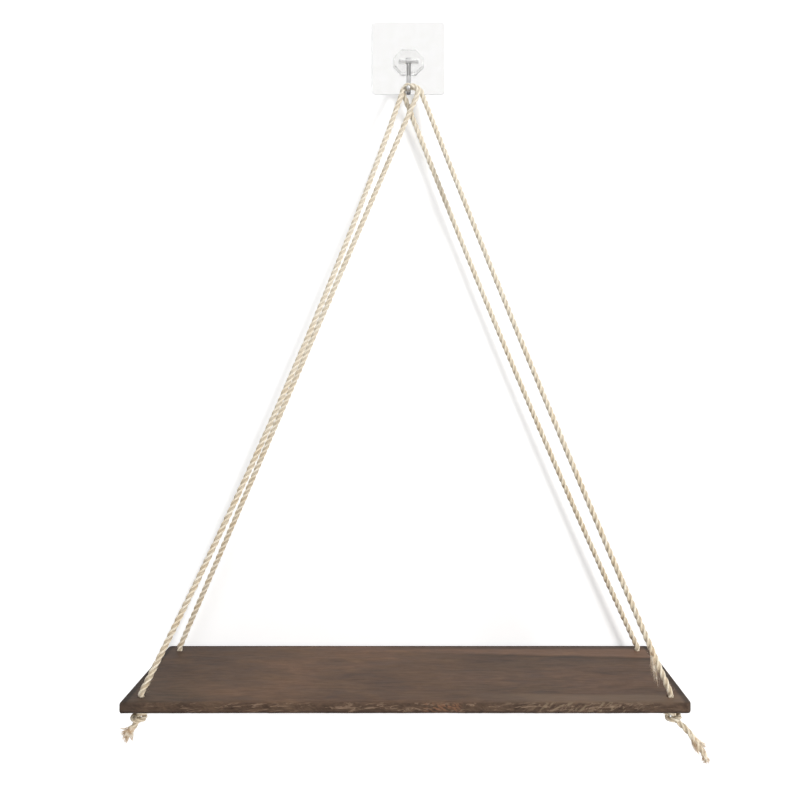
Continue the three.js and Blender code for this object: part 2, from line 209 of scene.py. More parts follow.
# Routes of the ropes
def hole_at(name):
    corner = CORNERS[name]
    x = corner["side"] * (BOARD_WIDTH / 2 - HOLE_INSET)
    y = BOARD_MIDDLE + corner["row"] * (BOARD_DEPTH / 2 - HOLE_INSET)
    return np.array([x, y])


def crown_bend(side, on_right):
    """Centre and radius of a rope's bend over the hook: tight on the left, wide on the right."""
    if not on_right:
        return 0, RUN_Z, CROWN_RADIUS
    length, radius = ARCHES[side]
    return length, RUN_Z + CROWN_RADIUS - radius, radius


def crown_point(side, angle):
    x, z, radius = crown_bend(side, math.cos(angle) > 0)
    y = LEFT_CROWN if side < 0 else RIGHT_CROWN
    return np.array([x + radius * math.cos(angle), y, z + radius * math.sin(angle)])


def leave_angle(name):
    """Angle at which a corner's rope leaves its bend: a rear rope crosses below the hook."""
    corner = CORNERS[name]
    x, z, radius = crown_bend(corner["side"], corner["side"] * corner["row"] < 0)
    across = abs(hole_at(name)[0]) + corner["row"] * (x + radius)
    drop = z - BOARD_TOP
    lean = math.atan2(across, drop) - math.atan2(4 * corner["bow"], math.hypot(across, drop))
    away = math.pi - lean if corner["row"] < 0 else -lean
    return away if corner["side"] < 0 else math.pi - away


def leg_line(name):
    """Place along a leg at a share of its length, bowed inward and down at its middle."""
    corner = CORNERS[name]
    hole = hole_at(name)
    top = crown_point(corner["side"], leave_angle(name))
    along = np.array([hole[0], hole[1], BOARD_TOP + HOLE_BEND_RISE]) - top
    unit = along / np.linalg.norm(along)
    level = np.array([along[0], along[1], 0])
    level -= unit * level.dot(unit)
    inward = -level / np.linalg.norm(level)

    def point_at(share):
        return top + along * share + inward * 4 * share * (1 - share) * corner["bow"]

    return point_at


def knot_points(name):
    """The overhand knot just under the board: down the core, up round the outside, down again."""
    corner = CORNERS[name]
    lean = Vector((*corner["lean"], -1)).normalized()
    turn = Vector((0, 0, -1)).rotation_difference(lean)
    thickness = 2 * KNOT_RADIUS
    points = []
    for share in np.linspace(-1, 1, KNOT_POINTS):
        bulge = (KNOT_BELT - KNOT_CORE) * (1 - share**2) ** KNOT_BULGE_POWER
        reach = (KNOT_CORE + bulge) * thickness
        angle = math.radians(corner["twist"] * share + corner["spin"])
        height = -(4 * share**3 - 3 * share) * KNOT_RISE * thickness
        points.append(turn @ Vector((reach * math.cos(angle), reach * math.sin(angle), height)))
    points = np.array(points)
    hole = hole_at(name)
    rise = BOARD_BOTTOM - SEAT_GAP - KNOT_RADIUS - points[:, 2].max()
    return points + np.array([hole[0] - points[0][0], hole[1] - points[0][1], rise])


def half_rope(name):
    """Points and radii from the end of the crown, through the hole and the knot, to the tail's end."""
    hole = hole_at(name)
    point_at = leg_line(name)
    shares = [(i + 0.5) / LEG_POINTS for i in range(LEG_POINTS)]
    shares += [1 - HOLE_BEND_RISE / -BOARD_TOP, 1]
    rows = [(point_at(share), ROPE_RADIUS) for share in shares]
    rows += [(np.array([*hole, BOARD_BOTTOM + rise]), radius) for rise, radius in NECKS]
    knot = knot_points(name)
    rows += [(point, SOFT_KNOT_RADIUS) for point in knot]
    middle, end = (np.array(place, float) for place in TAILS[name])
    rows += [(knot[-1] + place, radius) for place, radius in zip((middle / 3, middle, end), TAIL_RADII)]
    return rows


def whole_rope(row):
    side = -1 if row == "left" else 1
    front, rear = f"front_{row}", f"rear_{row}"
    arc = np.linspace(leave_angle(front), leave_angle(rear), CROWN_POINTS)
    crown = [(crown_point(side, angle), ROPE_RADIUS) for angle in arc]
    return half_rope(front)[::-1] + crown + half_rope(rear)


def catmull_rom(rows, step):
    """Centripetal spline through the points, sampled at an even step, with its radii."""
    points = np.array([p for p, _ in rows])
    radii = np.array([r for _, r in rows])
    first = 2 * points[0] - points[1]
    last = 2 * points[-1] - points[-2]
    padded = np.vstack([first, points, last])
    dense, dense_radii = [], []
    for i in range(len(points) - 1):
        p0, p1, p2, p3 = padded[i : i + 4]
        d1 = max(np.linalg.norm(p1 - p0), 1e-6) ** 0.5
        d2 = max(np.linalg.norm(p2 - p1), 1e-6) ** 0.5
        d3 = max(np.linalg.norm(p3 - p2), 1e-6) ** 0.5
        m1 = d2 * ((p1 - p0) / d1 - (p2 - p0) / (d1 + d2) + (p2 - p1) / d2)
        m2 = d2 * ((p2 - p1) / d2 - (p3 - p1) / (d2 + d3) + (p3 - p2) / d3)
        count = max(4, int(d2**2 / step * 2))
        t = np.linspace(0, 1, count, endpoint=False)[:, None]
        h = (2 * t**3 - 3 * t**2 + 1) * p1 + (t**3 - 2 * t**2 + t) * m1
        h += (3 * t**2 - 2 * t**3) * p2 + (t**3 - t**2) * m2
        dense.append(h)
        dense_radii.append(radii[i] + (radii[i + 1] - radii[i]) * t[:, 0])
    dense = np.vstack([*dense, points[-1:]])
    dense_radii = np.append(np.concatenate(dense_radii), radii[-1])
    run = np.concatenate([[0], np.cumsum(np.linalg.norm(np.diff(dense, axis=0), axis=1))])
    even = np.linspace(0, run[-1], int(run[-1] / step) + 1)
    line = np.column_stack([np.interp(even, run, dense[:, k]) for k in range(3)])
    return line, np.interp(even, run, dense_radii), even


def frames(line):
    """Tangents, untwisted normals and sides along a line."""
    tangents = np.gradient(line, axis=0)
    tangents /= np.linalg.norm(tangents, axis=1)[:, None]
    normals = np.zeros_like(line)
    start = np.cross(tangents[0], [0, 1, 0])
    normals[0] = start / np.linalg.norm(start)
    for i in range(1, len(line)):
        n = normals[i - 1] - tangents[i] * normals[i - 1].dot(tangents[i])
        normals[i] = n / np.linalg.norm(n)
    return tangents, normals, np.cross(tangents, normals)


# Meshes
def new_mesh(name, verts, faces):
    """Smooth-shaded piece from points in millimetres."""
    mesh = bpy.data.meshes.new(name)
    mesh.from_pydata((np.asarray(verts, float) * MM).tolist(), [], faces)
    mesh.update()
    mesh.shade_smooth()
    piece = bpy.data.objects.new(name, mesh)
    bpy.context.scene.collection.objects.link(piece)
    return piece


def grid_faces(rings, around):
    """Faces of a tube of rings, closed at both ends."""
    i, j = np.meshgrid(np.arange(rings - 1), np.arange(around), indexing="ij")
    a = i * around + j
    b = i * around + (j + 1) % around
    faces = np.stack([a, b, b + around, a + around], -1).reshape(-1, 4).tolist()
    faces.append(list(range(around))[::-1])
    faces.append([(rings - 1) * around + k for k in range(around)])
    return faces


def turns(count):
    """Angles evenly round a circle."""
    return np.arange(count) / count * 2 * math.pi


def noise_near(*place):
    return noise.noise(Vector(place))


def put_uv(piece, around, runs):
    """Texture coordinates: along the sweep in millimetres, and round it from 0 to 1."""
    layer = piece.data.uv_layers.new(name="UVMap")
    loops = np.empty(len(piece.data.loops), int)
    piece.data.loops.foreach_get("vertex_index", loops)
    u = np.asarray(runs)[loops // around]
    v = (loops % around) / around
    for polygon in piece.data.polygons:
        if polygon.vertices[0] % around == around - 1 or polygon.vertices[1] % around == 0:
            for k in polygon.loop_indices:
                if loops[k] % around == 0:
                    v[k] = 1
    layer.data.foreach_set("uv", np.column_stack([u, v]).ravel())


def strand_profile():
    """Outline of a laid rope's section, one lobe for each strand, with a largest radius of 1."""
    angle = turns(ROPE_SIDES)
    half = math.pi / STRANDS
    offset = (angle + half) % (2 * half) - half
    strand = 1 / (1 + 1 / math.sin(half))
    middle = 1 - strand
    root = np.sqrt(np.maximum(strand**2 - (middle * np.sin(offset)) ** 2, 0))
    return angle, np.maximum(middle * np.cos(offset) + root, STRAND_FLOOR)


def make_rope(row):
    line, radii, run = catmull_rom(whole_rope(row), ROPE_STEP)
    _, normals, sides = frames(line)
    angle, profile = strand_profile()
    lay = LAY_LENGTH * radii / ROPE_RADIUS
    twist = np.concatenate([[0], np.cumsum(2 * math.pi * ROPE_STEP / lay[1:])])
    verts = []
    for i, point in enumerate(line):
        phi = angle + twist[i]
        wobble = 1 + ROPE_WOBBLE * noise_near(run[i] * WOBBLE_PACE, WOBBLE_SEEDS[row], 0)
        out = np.outer(np.cos(phi), normals[i]) + np.outer(np.sin(phi), sides[i])
        verts.append(point + out * (profile * radii[i] * wobble)[:, None])
    rope = new_mesh(f"{row}_rope", np.vstack(verts), grid_faces(len(line), ROPE_SIDES))
    put_uv(rope, ROPE_SIDES, run)
    return rope, line, radii, run


def hairs(name, roots, ways, lengths, thicknesses, seed):
    """Thin bent hairs as tapering tubes."""
    draw = np.random.default_rng(seed)
    angles = turns(HAIR_SIDES)
    tube = grid_faces(HAIR_SECTIONS, HAIR_SIDES)
    verts, faces = [], []
    for root, way, length, thick in zip(roots, ways, lengths, thicknesses):
        curl = draw.normal(size=3) * HAIR_BEND
        direction = way / np.linalg.norm(way)
        point = np.array(root, float)
        base = len(verts)
        for k in range(HAIR_SECTIONS):
            side = np.cross(direction, [0.3, 0.9, 0.2])
            side /= np.linalg.norm(side)
            up = np.cross(direction, side)
            radius = thick * (1 - HAIR_TAPER * k / (HAIR_SECTIONS - 1))
            for angle in angles:
                verts.append(point + radius * (math.cos(angle) * side + math.sin(angle) * up))
            direction = direction + curl / HAIR_SECTIONS
            direction /= np.linalg.norm(direction)
            point = point + direction * length / (HAIR_SECTIONS - 1)
        faces += [[base + corner for corner in face] for face in tube]
    return new_mesh(name, verts, faces)


def make_fuzz(row, line, radii):
    """Loose hairs along a rope."""
    seed = FUZZ_SEEDS[row]
    draw = np.random.default_rng(seed)
    tangents, normals, sides = frames(line)
    picks = draw.integers(10, len(line) - 10, HAIRS)
    angles = draw.uniform(0, 2 * math.pi, HAIRS)
    out = np.cos(angles)[:, None] * normals[picks] + np.sin(angles)[:, None] * sides[picks]
    roots = line[picks] + out * (radii[picks] * HAIR_ROOT)[:, None]
    ways = out * draw.uniform(0.25, 1.0, HAIRS)[:, None]
    ways += tangents[picks] * draw.choice([-1, 1], HAIRS)[:, None]
    lengths = draw.gamma(3, 0.75, HAIRS).clip(*HAIR_LENGTHS)
    thicknesses = draw.uniform(*HAIR_RADII, HAIRS)
    return hairs(f"{row}_rope_fuzz", roots, ways, lengths, thicknesses, seed + 1)


def make_fan(name, end, way, tips, count, thick, seed):
    """Loose yarns that part from a rope and bend towards the line of their tips."""
    draw = np.random.default_rng(seed)
    way = way / np.linalg.norm(way)
    side = np.cross(way, [0, 1, 0])
    side /= np.linalg.norm(side)
    up = np.cross(way, side)
    t = np.linspace(0, 1, YARN_SECTIONS)[:, None]
    angle = turns(YARN_SIDES)
    tube = grid_faces(YARN_SECTIONS, YARN_SIDES)
    verts, faces = [], []
    for _ in range(count):
        turn = draw.uniform(0, 2 * math.pi)
        share = math.sqrt(draw.uniform(0, 1))
        out = math.cos(turn) * side + math.sin(turn) * up
        root = end + out * share * (ROPE_RADIUS - YARN_INSET)
        pick = draw.integers(0, len(tips) - 1)
        mix = draw.beta(0.6, 0.6)
        tip = tips[pick] * (1 - mix) + tips[pick + 1] * mix
        tip = root + (tip - root) * draw.uniform(*YARN_REACH) + draw.normal(size=3) * YARN_SCATTER
        reach = np.linalg.norm(tip - root)
        bend = root + way * reach * draw.uniform(*YARN_STRAIGHT)
        line = (1 - t) ** 2 * root + 2 * t * (1 - t) * bend + t**2 * tip
        wave = draw.normal(size=3) * YARN_WAVE
        line = line + np.sin(t * draw.uniform(*YARN_WAVE_PACE)) * wave * t
        radii = draw.uniform(*thick) * (1 - YARN_TAPER * t[:, 0] ** 1.5)
        _, normals, sides = frames(line)
        base = len(verts)
        for i in range(YARN_SECTIONS):
            out = np.outer(np.cos(angle), normals[i]) + np.outer(np.sin(angle), sides[i])
            verts.extend(line[i] + out * radii[i])
        faces += [[base + corner for corner in face] for face in tube]
    return new_mesh(name, verts, faces)


# Node materials
def srgb(*levels):
    """Linear colour of a screen colour whose levels go to 255."""
    shares = [level / 255 for level in levels]
    return tuple(s / 12.92 if s <= 0.04 else ((s + 0.055) / 1.055) ** 2.4 for s in shares)


def grey(level):
    return (level, level, level)


class Look:
    """The nodes of a material or of the world, with short ways to add and join them."""

    def __init__(self, owner):
        owner.use_nodes = True
        self.owner = owner
        self.nodes = owner.node_tree.nodes
        self.links = owner.node_tree.links

    def add(self, kind):
        return self.nodes.new("ShaderNode" + kind)

    def feed(self, socket, value):
        """Give an input another node's output, a number, or a colour of three numbers."""
        if isinstance(value, bpy.types.NodeSocket):
            self.links.new(value, socket)
        elif socket.type == "RGBA":
            socket.default_value = (*value, 1)
        else:
            socket.default_value = value

    def feed_named(self, node, values):
        for name, value in values.items():
            self.feed(node.inputs[name], value)

    def feed_all(self, node, values):
        """Give a node its inputs in order, and return its main output."""
        for socket, value in zip(node.inputs, values):
            self.feed(socket, value)
        return node.outputs[0]

    def surface(self, values):
        """Set the main shader, and return the finished material."""
        self.feed_named(self.nodes["Principled BSDF"], values)
        return self.owner

    def object_place(self):
        return self.add("TexCoord").outputs["Object"]

    def axes(self, vector):
        node = self.add("SeparateXYZ")
        self.feed(node.inputs[0], vector)
        return tuple(node.outputs)

    def maths(self, operation, *values):
        node = self.add("Math")
        node.operation = operation
        return self.feed_all(node, values)

    def product(self, *factors):
        value = factors[0]
        for factor in factors[1:]:
            value = self.maths("MULTIPLY", value, factor)
        return value

    def ramp(self, source, *stops):
        """Colours at places along a value."""
        node = self.add("ValToRGB")
        elements = node.color_ramp.elements
        for element, (place, colour) in zip(elements, (stops[0], stops[-1])):
            element.position = place
            element.color = (*colour, 1)
        for place, colour in stops[1:-1]:
            elements.new(place).color = (*colour, 1)
        self.feed(node.inputs["Fac"], source)
        return node.outputs["Color"]

    def mapped(self, where, name, value):
        """A place turned or scaled."""
        node = self.add("Mapping")
        self.feed_named(node, {"Vector": where, name: value})
        return node.outputs["Vector"]

    def noise_at(self, where, scale, detail=4, rough=0.55, warp=0, turn=0):
        """Noise with a scale for each axis, turned by so many degrees as the front edge is seen."""
        if turn:
            where = self.mapped(where, "Rotation", (0, math.radians(turn), 0))
        where = self.mapped(where, "Scale", scale)
        node = self.add("TexNoise")
        self.feed_named(node, {"Vector": where, "Scale": 1, "Detail": detail})
        self.feed_named(node, {"Roughness": rough, "Distortion": warp})
        return node.outputs["Fac"]

    def mask(self, value, low, high, warp=None, amount=0):
        """0 at low and 1 at high, with a smooth step whose border a noise can warp."""
        if warp is not None:
            value = self.maths("MULTIPLY_ADD", warp, amount, value)
        node = self.add("MapRange")
        node.interpolation_type = "SMOOTHSTEP"
        self.feed_named(node, {"Value": value, "From Min": low, "From Max": high})
        return node.outputs["Result"]

    def mix(self, mode, share, a, b):
        node = self.add("Mix")
        node.data_type = "RGBA"
        node.blend_type = mode
        for name, value in (("Factor", share), ("A", a), ("B", b)):
            socket = [s for s in node.inputs if s.name == name and s.enabled][0]
            self.feed(socket, value)
        return [s for s in node.outputs if s.enabled][0]

    def layered(self, colour, layers):
        """A colour under layers, each with its mode, its share and its own colour."""
        for mode, share, layer in layers:
            colour = self.mix(mode, share, colour, layer)
        return colour

    def bump(self, height, strength, distance, below=None):
        node = self.add("Bump")
        self.feed_named(node, {"Height": height, "Strength": strength, "Distance": distance})
        if below is not None:
            self.feed(node.inputs["Normal"], below)
        return node.outputs["Normal"]

    def seen_by(self, *rays):
        """1 for the named kinds of ray, else 0."""
        path = self.add("LightPath")
        value = path.outputs[rays[0]]
        for ray in rays[1:]:
            value = self.maths("MAXIMUM", value, path.outputs[ray])
        return value

    def join(self, kind, *values):
        """Shader that adds or mixes others."""
        return self.feed_all(self.add(kind), values)


def new_look(name):
    return Look(bpy.data.materials.new(name))


def jute_material():
    """Twisted fibres, with painted shade darkening the grooves between the strands, and paler towards the
    hook.
    """
    look = new_look("jute")
    texture_place = look.add("UVMap")
    texture_place.uv_map = "UVMap"
    uv = texture_place.outputs["UV"]
    along, round_it, _ = look.axes(uv)
    fibre = look.noise_at(uv, (0.35, 34, 1), detail=3, rough=0.6)
    patch = look.noise_at(uv, (0.06, 2.2, 1), detail=2)
    base = look.ramp(
        fibre, (0.26, srgb(178, 159, 135)), (0.44, srgb(236, 225, 204)), (0.62, srgb(253, 248, 238))
    )
    tint = look.ramp(patch, (0.35, srgb(241, 229, 208)), (0.65, srgb(255, 254, 250)))
    # Painted shade: the colour is darkened in the grooves between the strands
    lobe = look.maths("COSINE", look.product(round_it, STRANDS * 2 * math.pi))
    groove_shade = look.ramp(lobe, (0, (0.6, 0.55, 0.49)), (0.4, grey(1)))
    pale = look.product(look.mask(along, 170, 430), look.mask(along, 1000, 740), 0.3)
    layers = (
        ("MULTIPLY", 0.8, tint),
        ("MULTIPLY", 0.75, groove_shade),
        ("MIX", pale, (1, 0.965, 0.86)),
    )
    return look.surface({
        "Base Color": look.layered(base, layers),
        "Normal": look.bump(fibre, 0.7, 0.0003),
        "Roughness": 0.85,
        "Sheen Weight": 0.25,
        "Sheen Roughness": 0.5,
        "Specular IOR Level": 0.25,
    })


def fibre_material(name, scale, dark, pale):
    look = new_look(name)
    patch = look.noise_at(look.object_place(), grey(scale), detail=2)
    return look.surface({
        "Base Color": look.ramp(patch, (0.38, dark), (0.6, pale)),
        "Roughness": 0.8,
        "Specular IOR Level": 0.25,
    })


# The masks' limits are places on the board in metres, or levels of a noise
def face_colour(look, where, axes, broad, cloud, grain, fine):
    """Stained face: clouded brown with dark streaks and pores, greyer towards both ends."""
    x, y, _ = axes
    brown = look.ramp(
        broad,
        (0.3, srgb(86, 67, 55)),
        (0.44, srgb(96, 76, 62)),
        (0.56, srgb(105, 83, 66)),
        (0.7, srgb(115, 89, 71)),
    )
    veil = look.ramp(cloud, (0.32, (0.76, 0.74, 0.76)), (0.68, grey(1.18)))
    streaks = look.ramp(grain, (0.3, (0.66, 0.64, 0.63)), (0.62, (1.12, 1.11, 1.1)))
    pores = look.ramp(fine, (0.3, (0.66, 0.63, 0.61)), (0.5, grey(1)))
    left = look.mask(x, -0.03, -0.2, broad, 0.12)
    front_left = look.product(
        look.mask(y, -0.06, -0.11, cloud, 0.02),
        look.mask(x, -0.08, -0.16, cloud, 0.04),
    )
    right = look.mask(x, 0.05, 0.17, broad, 0.12)
    smoke = look.noise_at(where, (22, 120, 120), rough=0.6, warp=0.8)
    smoke = look.product(look.mask(smoke, 0.47, 0.65), right, 0.5)
    # Along the rear edge at the right: a lighter strip that slants away from it, behind a dark line
    slant = look.maths("MULTIPLY_ADD", x, 0.07, y)
    strip = look.product(
        look.mask(slant, -0.0175, -0.011, cloud, 0.007),
        look.mask(y, -0.006, -0.0105, cloud, 0.003),
        look.mask(x, -0.03, 0.13, cloud, 0.08),
    )
    line = look.product(
        look.mask(slant, -0.0235, -0.018, cloud, 0.004),
        look.mask(x, 0.08, 0.13, cloud, 0.05),
        look.mask(slant, -0.013, -0.017, cloud, 0.004),
        0.45,
    )
    front_right = look.product(
        look.mask(y, -0.1, -0.106, broad, 0.012),
        look.mask(x, 0.06, 0.13, cloud, 0.05),
        0.4,
    )
    rims = [look.mask(y, REAR - 0.0039, REAR - 0.0009, cloud, 0.0016)]
    for side in (-1, 1):
        rims.append(look.mask(x, side * (END - 0.0055), side * (END - 0.0025), cloud, side * 0.002))
    layers = [
        ("MULTIPLY", 0.95, veil),
        ("MULTIPLY", 0.75, streaks),
        ("MULTIPLY", 0.45, pores),
        ("MULTIPLY", left, (0.68, 0.73, 0.78)),
        ("MULTIPLY", front_left, (0.79, 0.86, 0.915)),
        ("MULTIPLY", right, (0.85, 0.9, 0.97)),
        ("MULTIPLY", smoke, (0.7, 0.76, 0.83)),
        ("ADD", strip, (0.09, 0.05, 0.031)),
        ("MULTIPLY", line, (0.55, 0.52, 0.52)),
        ("MIX", front_right, srgb(134, 113, 94)),
    ]
    # Worn darker along the rear edge and both ends
    layers += [("MULTIPLY", rim, (0.45, 0.47, 0.5)) for rim in rims]
    return look.layered(brown, layers)


def edge_colour(look, where, axes, cloud, torn, chips):
    """Hewn front edge: dark brown, charred at the left and darker along its foot, with pale torn fibres."""
    x, _, z = axes
    rust = look.noise_at(where, (34, 34, 70), detail=3, rough=0.5)
    dashes = look.noise_at(where, (130, 200, 430), detail=3, warp=0.4, turn=36)
    brown = look.ramp(cloud, (0.34, srgb(68, 54, 45)), (0.5, srgb(86, 69, 57)), (0.66, srgb(102, 83, 68)))
    chipped = look.ramp(chips, (0.34, (0.74, 0.72, 0.71)), (0.48, grey(1)), (0.66, (1.22, 1.19, 1.16)))
    lines = look.ramp(torn, (0.555, grey(0)), (0.58, grey(1)), (0.6, grey(1)), (0.625, grey(0)))
    torn_fibres = look.product(lines, look.mask(x, -0.2, -0.02, rust, 0.1), look.mask(x, 0.182, 0.168), 0.8)
    # Short slanting dashes and pits towards the right, and one orange patch right of the middle
    dashed = look.product(look.mask(x, 0.085, 0.115, rust, 0.02), look.mask(x, 0.185, 0.165, rust, 0.02))
    tan = look.product(look.mask(dashes, 0.54, 0.6), dashed, 0.6)
    pits = look.product(look.mask(dashes, 0.46, 0.4), dashed, 0.6)
    orange = look.product(
        look.mask(x, 0.012, 0.017, rust, 0.004),
        look.mask(x, 0.042, 0.037, rust, 0.004),
        look.mask(chips, 0.46, 0.58),
        0.5,
    )
    charred = look.product(look.mask(x, -0.15, -0.18, rust, 0.05), 0.6)
    # A dark band along the edge's lowest few millimetres
    foot = look.product(look.mask(z, FOOT + 0.0032, FOOT + 0.0018, torn, 0.0015), 0.85)
    layers = (
        ("MULTIPLY", 0.8, chipped),
        ("MIX", torn_fibres, srgb(150, 126, 106)),
        ("MIX", tan, srgb(146, 127, 104)),
        ("MIX", pits, srgb(54, 43, 38)),
        ("MIX", orange, srgb(150, 105, 78)),
        ("MIX", charred, srgb(56, 48, 44)),
        ("MIX", foot, srgb(50, 41, 37)),
    )
    return look.layered(brown, layers)


def wood_material():
    look = new_look("wood")
    where = look.object_place()
    axes = look.axes(where)
    broad = look.noise_at(where, (8, 17, 17), detail=5, rough=0.6, warp=0.6)
    cloud = look.noise_at(where, (34, 62, 62), detail=5, rough=0.66, warp=1)
    grain = look.noise_at(where, (62, 420, 420), detail=5, rough=0.62, warp=0.3)
    fine = look.noise_at(where, (260, 1700, 1700), detail=3, rough=0.6)
    torn = look.noise_at(where, (52, 150, 380), detail=3, warp=1, turn=5)
    chips = look.noise_at(where, (170, 200, 420), detail=3, warp=1.2, turn=-24)
    face = face_colour(look, where, axes, broad, cloud, grain, fine)
    edge = edge_colour(look, where, axes, cloud, torn, chips)
    hewn = look.mask(axes[1], FRONT + 0.0035, FRONT + 0.0011, torn, 0.0026)
    relief = look.bump(grain, 0.3, 0.0004)
    relief = look.bump(look.product(chips, hewn), 0.35, 0.0008, relief)
    relief = look.bump(fine, 0.25, 0.0002, relief)
    return look.surface({
        "Base Color": look.mix("MIX", hewn, face, edge),
        "Normal": relief,
        "Roughness": look.ramp(cloud, (0.3, grey(0.52)), (0.7, grey(0.68))),
        "Specular IOR Level": 0.12,
    })


def steel_material():
    look = new_look("steel")
    cloud = look.noise_at(look.object_place(), grey(260), detail=3)
    return look.surface({
        "Base Color": look.ramp(cloud, (0.3, srgb(172, 171, 170)), (0.7, srgb(202, 202, 201))),
        "Roughness": look.ramp(cloud, (0.3, grey(0.14)), (0.7, grey(0.24))),
        "Metallic": 1,
        "Specular Tint": (0.12, 0.12, 0.13),
    })


def clear_material(name, tints, clearness, rough, scale, wave):
    look = new_look(name)
    ripple = look.noise_at(look.object_place(), grey(scale), detail=2)
    return look.surface({
        "Base Color": look.ramp(ripple, (0.35, tints[0]), (0.65, tints[1])),
        "Normal": look.bump(ripple, wave, 0.0003),
        "Transmission Weight": clearness,
        "Roughness": rough,
        "IOR": 1.47,
    })


# Board
def board_section(half_depth, half_height):
    """Loop of a rounded section with its outward directions: top, front, underside, rear."""
    radius = min(EDGE_RADIUS, half_height * 0.95)
    y, z = half_depth - radius, half_height - radius
    corners = ((y, z), (-y, z), (-y, -z), (y, -z))
    points = []
    for quarter, (cy, cz) in enumerate(corners):
        for i in range(BEND_POINTS):
            a = math.pi / 2 * (quarter + i / BEND_POINTS)
            points.append((cy + radius * math.cos(a), cz + radius * math.sin(a), math.cos(a), math.sin(a)))
        next_y, next_z = corners[(quarter + 1) % 4]
        a = math.pi / 2 * (quarter + 1)
        ny, nz = math.cos(a), math.sin(a)
        straight = UPRIGHT_POINTS if quarter % 2 else FLAT_POINTS
        for i in range(straight):
            share = i / straight
            place_y = cy + (next_y - cy) * share + radius * ny
            place_z = cz + (next_z - cz) * share + radius * nz
            points.append((place_y, place_z, ny, nz))
    return np.array(points)


def rough_edge(x, z):
    """Depth of the hewn front edge's gouges, in millimetres."""
    slant = z * 1.5 + 3 * noise_near(x * 0.05, 4.1, 0)
    coarse = noise_near(x * 0.12 + slant * 0.15, slant * 0.4, 1.7)
    medium = noise_near(x * 0.34 - slant * 0.3, slant * 0.7, 9.3)
    small = noise_near(x * 0.8 + slant * 0.5, slant * 1.4, 3.3)
    return 0.2 + 0.5 * coarse + 0.3 * medium + 0.14 * small


def worn_drop(x):
    """How far the worn top sinks at the front edge, in millimetres."""
    return max(0.55 + 0.7 * noise_near(x * 0.06, 2.2, 0) + 0.35 * noise_near(x * 0.3, 7, 0), 0.1)


def corner_pull(into, radius):
    """How far a rounded corner draws the outline in, at a distance from the board's end."""
    return radius - math.sqrt(max(radius**2 - max(radius - into, 0) ** 2, 0))


def board_stations(half_width):
    """Places of the sections along the board, close together in its rounded ends."""
    places = [np.linspace(-half_width + CORNER_RADIUS, half_width - CORNER_RADIUS, BOARD_STATIONS)]
    for radius in (SHARP_CORNER, EDGE_RADIUS, CORNER_RADIUS):
        ends = half_width - radius * (1 - np.sin(np.linspace(0, math.pi / 2, BEND_STATIONS)))
        places += [-ends, ends]
    return np.unique(np.concatenate(places).round(4))


def make_board():
    half_width, half_depth = BOARD_WIDTH / 2, BOARD_DEPTH / 2
    middle_z = (BOARD_TOP + BOARD_BOTTOM) / 2
    stations = board_stations(half_width)
    verts = []
    for x in stations:
        into = half_width - abs(x)
        front_pull = corner_pull(into, SHARP_CORNER if x < 0 else CORNER_RADIUS)
        rear_pull = corner_pull(into, CORNER_RADIUS)
        wear = worn_drop(x)
        section = board_section(half_depth, BOARD_THICKNESS / 2 - corner_pull(into, EDGE_RADIUS))
        for y, z, ny, nz in section:
            pull = front_pull if y < 0 else rear_pull
            cut = 0
            if ny < 0:
                cut = max(rough_edge(x, z), 0) * -ny * min(into / GOUGE_FADE, 1)
            near = max((-y - half_depth + WORN_DEPTH) / WORN_DEPTH, 0)
            drop = near**2 * wear * (1 if z > 0 else -UNDERSIDE_WEAR) * min(into / WEAR_FADE, 1)
            lift = 0.1 * noise_near(x * 0.02, y * 0.12, 5) * nz
            inner = y * (half_depth - pull) / half_depth
            verts.append((x, BOARD_MIDDLE + inner + cut, middle_z + z + lift - drop))
    board = new_mesh("wooden_board", verts, grid_faces(len(stations), len(section)))
    for name in CORNERS:
        hole = hole_at(name)
        bpy.ops.mesh.primitive_cylinder_add(
            vertices=DRILL_SIDES,
            radius=HOLE_RADIUS * MM,
            depth=DRILL_LENGTH * MM,
            location=(hole[0] * MM, hole[1] * MM, middle_z * MM),
        )
        drill = bpy.context.object
        cut = board.modifiers.new("hole", "BOOLEAN")
        cut.operation = "DIFFERENCE"
        cut.object = drill
        cut.solver = "EXACT"
        bpy.context.view_layer.objects.active = board
        bpy.ops.object.modifier_apply(modifier=cut.name)
        bpy.data.objects.remove(drill)
    board.data.set_sharp_from_angle(angle=math.radians(50))
    return board


